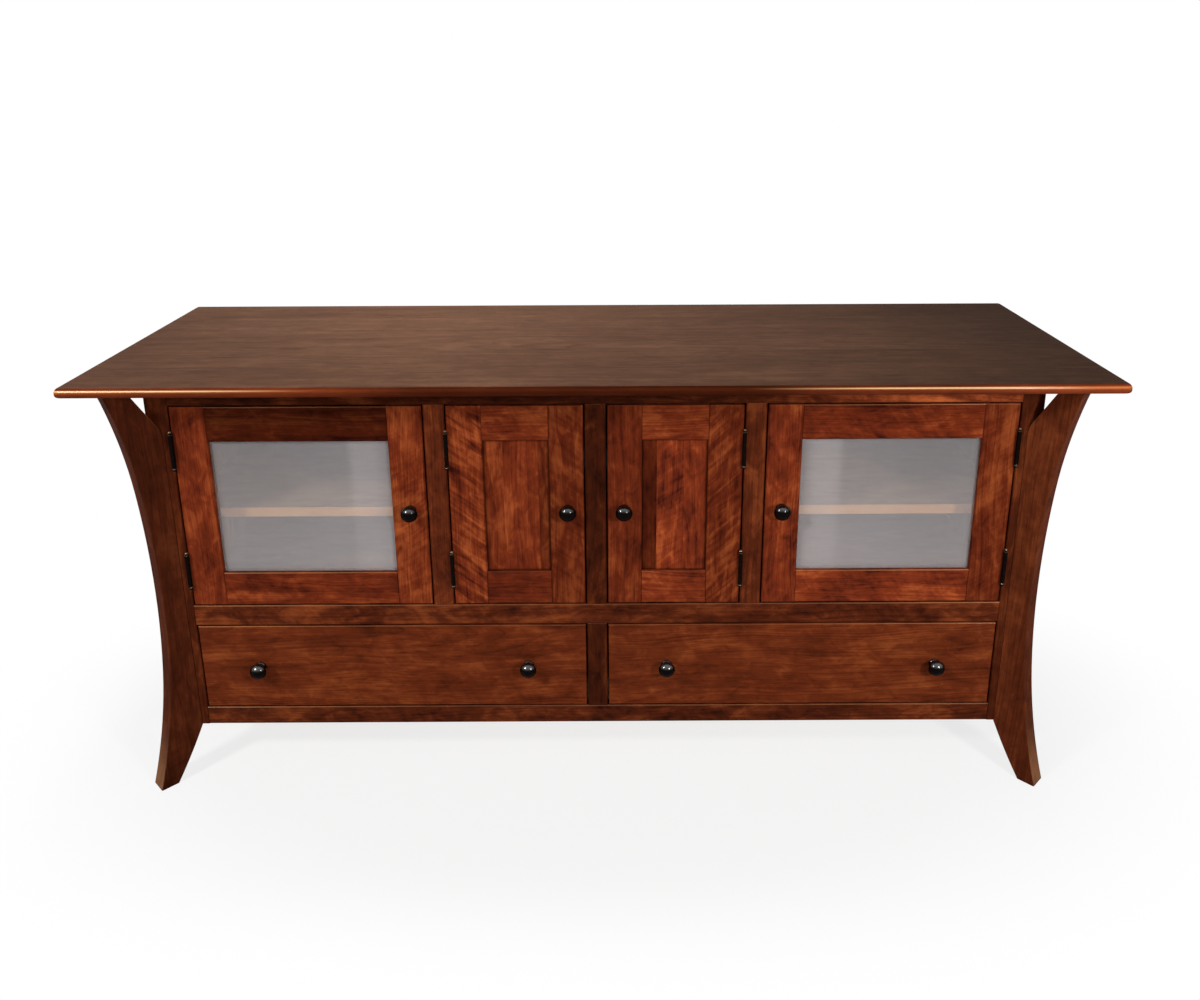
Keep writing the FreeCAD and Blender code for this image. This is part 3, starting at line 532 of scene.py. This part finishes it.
def nose_crest(graph, x):
    """How strong the painted highlight and the polish on the crest of the top's edge are: most near the
    ends, less at the right corner.
    """
    left = graph.spread(x, *LEFT_CREST)
    right = graph.math("MULTIPLY", graph.spread(x, *RIGHT_CREST), graph.spread(x, *RIGHT_CORNER))
    return graph.math("MAXIMUM", left, right)


def nose_stain_and_light(graph, x):
    """The stain of the top's edge, lighter away from the middle and lightest at the right end as painted
    light, which also makes up for the top's painted shade there.
    """
    away = graph.spread(graph.math("ABSOLUTE", x), *NOSE_LIGHT_FROM_MIDDLE)
    strength = graph.math("MULTIPLY", away, graph.spread(x, *NOSE_LIGHT_TO_RIGHT))
    return graph.scale(NOSE_STAIN, strength)


def panel_inset(graph, spot, low, high):
    """How far a place on an upright panel is from the nearest of its four sides."""
    gaps = [graph.math("SUBTRACT", spot[side], low[side]) for side in (0, 2)]
    gaps += [graph.math("SUBTRACT", high[side], spot[side]) for side in (0, 2)]
    nearest = gaps[0]
    for gap in gaps[1:]:
        nearest = graph.math("MINIMUM", nearest, gap)
    return nearest


def dress_wood(
    name, tones, along, face, seed, cuts=(), axis=0, shades=(), curls=(), slant=0.6, blotch=1.1,
    highlight_strength=0.6, specular=SATIN, nose=None, painted_light=None, lining=None, lined_below=-0.5, recess_shadow=None,
):
    """Wood for one CAD node, its grain along one way and its face out another. Seed numbers its first
    board. Cuts are shares of its box along an axis where one board ends and another starts, shades and
    curls the brightness and the curly figure of each board, slant the lean of that figure. Nose is the
    height over its middle below which its edge is rounded. A painted light or shade along the node is
    given as an axis, two places on it and the brightness at each. Lining names the tones of the sides
    that turn from the face by a cosine under lined_below. A painted shadow in a panel's recess darkens
    it from its sides, over two distances given. The painted highlight on its up-facing arrises, shown
    as rubbed lighter wood, has a strength given."""
    low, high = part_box(name)
    material, graph = new_material(f"{name}_wood")
    place = graph.object_place()
    spot = graph.split(place)
    steps = [graph.math("GREATER_THAN", spot[axis], share(low[axis], high[axis], cut)) for cut in cuts]
    boards = range(seed, seed + len(cuts) + 1)

    shade = by_board(graph, steps, shades or [1.0] * len(boards))
    # painted light or shade along the node
    if painted_light:
        painted_axis, *reach = painted_light
        shade = graph.math("MULTIPLY", graph.spread(spot[painted_axis], *reach), shade)
    # painted shadow in a panel's recess, along its sides
    if recess_shadow:
        inset = panel_inset(graph, spot, low, high)
        shade = graph.math("MULTIPLY", graph.spread(inset, *recess_shadow, RECESS_SHADOW_SHADE, 1.0), shade)

    # painted highlight on up-facing arrises, shown as rubbed wood, stronger towards the ends
    middle_highlight = NOSE_HIGHLIGHT_MIDDLE if nose else HIGHLIGHT_MIDDLE
    endward = graph.spread(graph.math("ABSOLUTE", spot[0]), *HIGHLIGHT_REACH, middle_highlight, 1.0)
    wear_and_highlight = graph.math("MULTIPLY", endward, highlight_strength)
    colours = TONES[tones]
    if lining:
        outward = graph.vector("DOT_PRODUCT", graph.node("TexCoord").outputs["Normal"], face)
        inner = graph.math("LESS_THAN", outward, lined_below)
        colours = [graph.mix(inner, outer, lined) for outer, lined in zip(colours, TONES[lining])]
        wear_and_highlight = graph.math("MULTIPLY", wear_and_highlight, graph.math("SUBTRACT", 1.0, inner))

    inputs = {
        "Vector": grain_mapping(graph, place, (low + high) / 2, along, face),
        "Board": by_board(graph, steps, boards),
        "Dark": colours[0], "Middle": colours[1], "Light": colours[2],
        "Blotch": blotch, "Highlight": wear_and_highlight, "Slant": slant, "Shade": shade, "HighlightTone": ARRIS_HIGHLIGHT_TONE,
        "Curl": by_board(graph, steps, curls or [0.0] * len(boards)), "Nose": NO_NOSE,
    }
    if nose:
        inputs.update({
            "Nose": nose, "Crest": nose_crest(graph, spot[0]), "Edge": nose_stain_and_light(graph, spot[0]),
            "HighlightTone": NOSE_HIGHLIGHT_TONE, "PaintedCrest": PAINTED_CREST_TONE,
        })
    wood = graph.node("Group", inputs, node_tree=WOOD).outputs
    shader = graph.node("BsdfPrincipled", {
        "Base Color": wood["Color"], "Roughness": wood["Roughness"], "Normal": wood["Normal"],
        "Specular IOR Level": specular, "Coat Weight": wood["Gloss"], "Coat Roughness": COAT_ROUGHNESS,
        "Coat Normal": wood["Smooth"],
    })
    surface(graph, shader)
    wear_material(nodes[name], material)


def dress_outside():
    """The top, legs, sides, back and face frame."""
    dress_wood("top_panel", "top", X, Z, seed=11, cuts=TOP_BOARDS, axis=1, blotch=0.5, specular=MATT,
               nose=NOSE_HEIGHT, painted_light=TOP_PAINTED_SHADE)
    for end, forward in (("front", -1), ("rear", 1)):
        for side, outward in SIDES:
            name = f"leg_{end}_{side}"
            diagonal = Vector((outward, forward, 0)).normalized()
            dress_wood(name, f"leg_{side}", Z, diagonal, seed=LEG_SEEDS[name], curls=(0.15,), blotch=0.8,
                       specular=MATT, painted_light=LEG_PAINTED_SHADES[side])
    for side, outward in SIDES:
        dress_wood(f"side_panel_{side}", "case", Z, X * outward, seed=40 + outward, cuts=SIDE_BOARDS,
                   axis=1, lining="inside")
        dress_wood(f"stile_{side}", "case", Z, -Y, seed=50 + outward, shades=(0.7,))
    for number, (name, shade) in enumerate(RAIL_SHADES.items()):
        dress_wood(name, "case", X, -Y, seed=60 + number, shades=(shade,), curls=(0.2,), blotch=1.4,
                   highlight_strength=0.45, painted_light=TOP_RAIL_PAINTED_LIGHT if name == "top_rail" else None)
    dress_wood("mullions", "case", Z, -Y, seed=70, cuts=MULLIONS, shades=(1.2, 0.6, 0.98),
               curls=(0.2, 0.2, 0.2))
    dress_wood("drawer_mullion", "case", Z, -Y, seed=76, shades=(0.6,))
    dress_wood("back_panel", "case", Z, Y, seed=80, cuts=QUARTERS, lining="inside")


def dress_inside():
    """The boards behind the face frame."""
    for number, name in enumerate(("bottom_panel", "mid_deck")):
        dress_wood(name, "inside", X, Z, seed=90 + number, highlight_strength=HIDDEN_HIGHLIGHT)
    dress_wood("shelves", "edging", X, -Y, seed=94, cuts=HALVES, highlight_strength=HIDDEN_HIGHLIGHT, lining="pale",
               lined_below=0.5)
    dress_wood("top_stretchers", "inside", X, Z, seed=97, cuts=HALVES, axis=1, highlight_strength=HIDDEN_HIGHLIGHT)
    uprights = ("partition_left", "partition_centre", "partition_right", "drawer_divider")
    for number, name in enumerate(uprights):
        dress_wood(name, "inside", Z, X, seed=100 + number, highlight_strength=HIDDEN_HIGHLIGHT)
    dress_wood("drawer_runners", "pale", Y, Z, seed=110, cuts=QUARTERS, highlight_strength=HIDDEN_HIGHLIGHT)


def dress_doors():
    for number, door in enumerate(DOORS):
        seed = DOOR_SEED + SEED_STEP * number
        stiles, rails, curls, slant, strips, panel = DOOR_BOARDS[door]
        glazed = door in GLASS_DOORS
        dress_wood(f"{door}_stiles", "door", Z, -Y, seed, HALVES, shades=stiles, curls=curls,
                   slant=slant)
        dress_wood(f"{door}_rails", "door", X, -Y, seed + 5, HALVES, axis=2, shades=rails,
                   curls=(0.2, 0.2), highlight_strength=0.6 if glazed else 0.15)
        if glazed:
            dress_wood(f"{door}_stops", "door", Z, Y, seed + 9, HALVES)
        else:
            dress_wood(f"{door}_panel", "door", Z, -Y, seed + 12, strips, shades=panel,
                       curls=(0.1, 0.3, 0.1), recess_shadow=PANEL_RECESS_SHADOW)


def dress_drawers():
    for number, drawer in enumerate(DRAWERS):
        seed = DRAWER_SEED + SEED_STEP * number
        dress_wood(f"{drawer}_front", "drawer", X, -Y, seed, shades=(0.92,), curls=(0.1,), blotch=0.9)
        dress_wood(f"{drawer}_sides", "pale", Y, X, seed + 3, HALVES, highlight_strength=HIDDEN_HIGHLIGHT)
        dress_wood(f"{drawer}_back", "pale", X, Y, seed + 6, highlight_strength=HIDDEN_HIGHLIGHT)
        dress_wood(f"{drawer}_bottom", "pale", X, Z, seed + 8, THIRDS, axis=1, highlight_strength=HIDDEN_HIGHLIGHT)


def black_metal(name, wear_and_highlight, rounding):
    """Black enamel, rubbed a little brown on the edges, and lighter by that share where it faces up,
    partly worn brass and partly a painted glint, and polished there. Rounding is the radius over which
    its gloss runs smoothly."""
    material, graph = new_material(name)
    place = graph.object_place()
    cloud = graph.even_noise(place, features=90.0, detail=3.0)
    grit = graph.even_noise(place, features=1400.0, detail=1.0)
    flat = graph.flat()
    turn = graph.turn(graph.rounded(HINGE_ROUNDING, samples=4), flat)
    rise = graph.vector("DOT_PRODUCT", flat, UP)
    colour = graph.mix(cloud, *ENAMEL_TONES)
    colour = graph.mix(graph.spread(turn, *ENAMEL_EDGE), colour, ENAMEL_WORN)
    colour = graph.mix(graph.spread(rise, *WEAR_AND_GLINT_RISE, 0.0, wear_and_highlight), colour, ENAMEL_BARE_AND_GLINT)
    smooth = graph.rounded(rounding, samples=8)
    bump = graph.node("Bump", {"Strength": 0.05, "Distance": 0.0002, "Height": grit, "Normal": smooth})
    shader = graph.node("BsdfPrincipled", {
        "Base Color": colour, "Roughness": graph.spread(cloud, *NOISE_RANGE, *ENAMEL_ROUGHNESS),
        "Normal": bump.outputs["Normal"], "Specular IOR Level": 0.02,
        "Coat Weight": graph.spread(rise, *POLISHED_RISE), "Coat Roughness": 0.18, "Coat IOR": 1.9,
        "Coat Normal": smooth,
    })
    surface(graph, shader)
    return material


def zinc():
    """Plated steel with a faint spangle."""
    material, graph = new_material("zinc_plate")
    spangle = graph.even_noise(graph.object_place(), features=260.0, detail=2.0)
    shader = graph.node("BsdfPrincipled", {
        "Base Color": graph.mix(spangle, *ZINC_TONES), "Metallic": 1.0,
        "Roughness": graph.spread(spangle, *NOISE_RANGE, *ZINC_ROUGHNESS),
    })
    surface(graph, shader)
    return material


def black_plastic():
    """Moulded plastic with a fine spark texture."""
    material, graph = new_material("moulded_plastic")
    spark = graph.even_noise(graph.object_place(), features=900.0, detail=2.0)
    bump = graph.node("Bump", {"Strength": 0.25, "Distance": 0.0003, "Height": spark})
    shader = graph.node("BsdfPrincipled", {
        "Base Color": graph.mix(spark, *PLASTIC_TONES), "Normal": bump.outputs["Normal"],
        "Roughness": graph.spread(spark, *NOISE_RANGE, *PLASTIC_ROUGHNESS),
    })
    surface(graph, shader)
    return material


def hazy_glass(name, mullion_side):
    """Glass with a pale film, lighter downward and towards the middle of the stand as painted light, and
    in an upright band as a painted reflection. Mullion_side is 1 where the middle lies to the right, -1
    where to the left."""
    low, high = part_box(name)
    material, graph = new_material(f"{name}_film")
    place = graph.object_place()
    spot = graph.split(place)
    near, far = (low.x, high.x) if mullion_side > 0 else (high.x, low.x)
    starts = [share(near, far, part) for part in BAND_STARTS]
    stops = [share(near, far, part) for part in BAND_STOPS]
    lower_end = [share(low.z, high.z, part) for part in BAND_LOWER_END]
    upper = graph.spread(spot[2], *lower_end, BAND_BELOW, 1.0)
    band = graph.math("MULTIPLY", graph.band(spot[0], starts, stops, BAND_REST), upper)
    smear = graph.noise(place, (9.0, 9.0, 3.0), detail=3.0, distortion=0.5)[0]
    # the film, with painted light inward and downward and a painted reflection in the band
    film = graph.total(
        graph.math("MULTIPLY", graph.spread(spot[0], near, far), PAINTED_LIGHT_INWARD),
        graph.math("MULTIPLY", graph.spread(spot[2], high.z, low.z), PAINTED_LIGHT_DOWNWARD),
        graph.math("MULTIPLY", band, PAINTED_REFLECTION_BAND),
        graph.centred(smear, FILM_SMEAR),
        FILM_LEAST,
    )
    shader = graph.node("BsdfPrincipled", {
        "Base Color": graph.mix(film, *FILM_TONES), "Alpha": 0.32, "Specular IOR Level": 0.2,
        "Roughness": graph.spread(smear, *SMEAR_RANGE, *GLASS_ROUGHNESS),
    })
    surface(graph, shader)
    return material


def dress_fittings():
    """Hinges, knobs, shelf supports, catches and glass."""
    enamel = black_metal("black_enamel", 0.0, HINGE_ROUNDING)
    worn_and_glint_enamel = black_metal("worn_and_glint_enamel", PIN_WEAR_AND_GLINT, HINGE_ROUNDING)
    knob_enamel = black_metal("knob_enamel", 0.0, KNOB_ROUNDING)
    wear_material(nodes["hinge_frame_leaves"], enamel)
    wear_material(nodes["hinge_pins"], worn_and_glint_enamel)
    for door in DOORS:
        wear_material(nodes[f"{door}_knob"], knob_enamel)
        wear_material(nodes[f"{door}_hinge_leaves"], enamel)
    for drawer in DRAWERS:
        wear_material(nodes[f"{drawer}_knobs"], knob_enamel)
    wear_material(nodes["shelf_supports"], zinc())
    wear_material(nodes["door_catches"], black_plastic())
    for door, mullion_side in zip(GLASS_DOORS, (1, -1)):
        wear_material(nodes[f"{door}_glass"], hazy_glass(f"{door}_glass", mullion_side))


def to_background(graph):
    """1 for rays that should meet the white background: the camera's, mirrored and see-through ones."""
    rays = graph.node("LightPath").outputs
    seen = graph.math("MAXIMUM", rays["Is Camera Ray"], rays["Is Glossy Ray"])
    return graph.math("MAXIMUM", seen, rays["Is Transmission Ray"])


def make_floor():
    """A pale floor that keeps the stand's shadow and fades to white away from it."""
    mesh = bpy.data.meshes.new("floor")
    half = FLOOR_HALF
    corners = [(-half, -half, 0), (half, -half, 0), (half, half, 0), (-half, half, 0)]
    mesh.from_pydata(corners, [], [(0, 1, 2, 3)])
    floor = bpy.data.objects.new("floor", mesh)
    bpy.context.scene.collection.objects.link(floor)
    material, graph = new_material("studio_floor")
    place = graph.object_place()
    spot = graph.split(place)
    narrow = graph.joined(graph.math("MULTIPLY", spot[0], SIDEWAYS), spot[1], 0.0)
    away = graph.spread(graph.vector("LENGTH", narrow), *WHITE_REACH, WHITE_NEAR, 1.0)
    texture = graph.even_noise(place, FLOOR_FEATURES, detail=3.0)
    pale = graph.node("BsdfDiffuse", {"Color": graph.mix(texture, *FLOOR_TONES)})
    white = graph.node("Emission", {"Color": WHITE, "Strength": 1.0})
    both = graph.node("MixShader", {"Fac": graph.math("MULTIPLY", to_background(graph), away)})
    graph.put(both.inputs[1], pale.outputs[0])
    graph.put(both.inputs[2], white.outputs[0])
    surface(graph, both)
    mesh.materials.append(material)


def make_world():
    """White where it is seen or mirrored, and a softer grey where it lights the stand."""
    world = bpy.data.worlds.new("studio")
    bpy.context.scene.world = world
    world.use_nodes = True
    world.node_tree.nodes.clear()
    graph = Graph(world.node_tree)
    strength = graph.spread(to_background(graph), 0.0, 1.0, WORLD_LIGHT, 1.0)
    sky = graph.node("Background", {"Color": WHITE, "Strength": strength})
    graph.put(graph.node("OutputWorld").inputs["Surface"], sky.outputs[0])


def make_lamps():
    for name, place, aim, width, height, watts, beam in LAMPS:
        lamp = bpy.data.lights.new(name, "AREA")
        lamp.shape = "RECTANGLE"
        lamp.size = width
        lamp.size_y = height
        lamp.energy = watts
        lamp.spread = math.radians(beam)
        item = bpy.data.objects.new(name, lamp)
        item.location = place
        item.rotation_euler = (Vector(aim) - Vector(place)).to_track_quat("-Z", "Y").to_euler()
        bpy.context.scene.collection.objects.link(item)


def make_camera():
    camera = bpy.data.cameras.new("camera")
    camera.sensor_width = SENSOR_WIDTH
    camera.lens = SENSOR_WIDTH * FOCAL_PIXELS / PHOTO_WIDTH
    camera.shift_x = (PHOTO_WIDTH / 2 - AXIS_PIXEL[0]) / PHOTO_WIDTH
    camera.shift_y = (AXIS_PIXEL[1] - PHOTO_HEIGHT / 2) / PHOTO_WIDTH
    item = bpy.data.objects.new("camera", camera)
    turn = (
        Matrix.Rotation(math.radians(-CAMERA_RIGHT), 4, "Z")
        @ Matrix.Rotation(math.radians(90 - CAMERA_DOWN), 4, "X")
        @ Matrix.Rotation(math.radians(-CAMERA_ROLL), 4, "Z")
    )
    item.matrix_world = Matrix.Translation(CAMERA_PLACE) @ turn
    bpy.context.scene.collection.objects.link(item)
    bpy.context.scene.camera = item


dress_outside()
dress_inside()
dress_doors()
dress_drawers()
dress_fittings()
make_floor()
make_world()
make_lamps()
make_camera()
bpy.context.scene.view_settings.view_transform = "Standard"

bpy.context.view_layer.update()
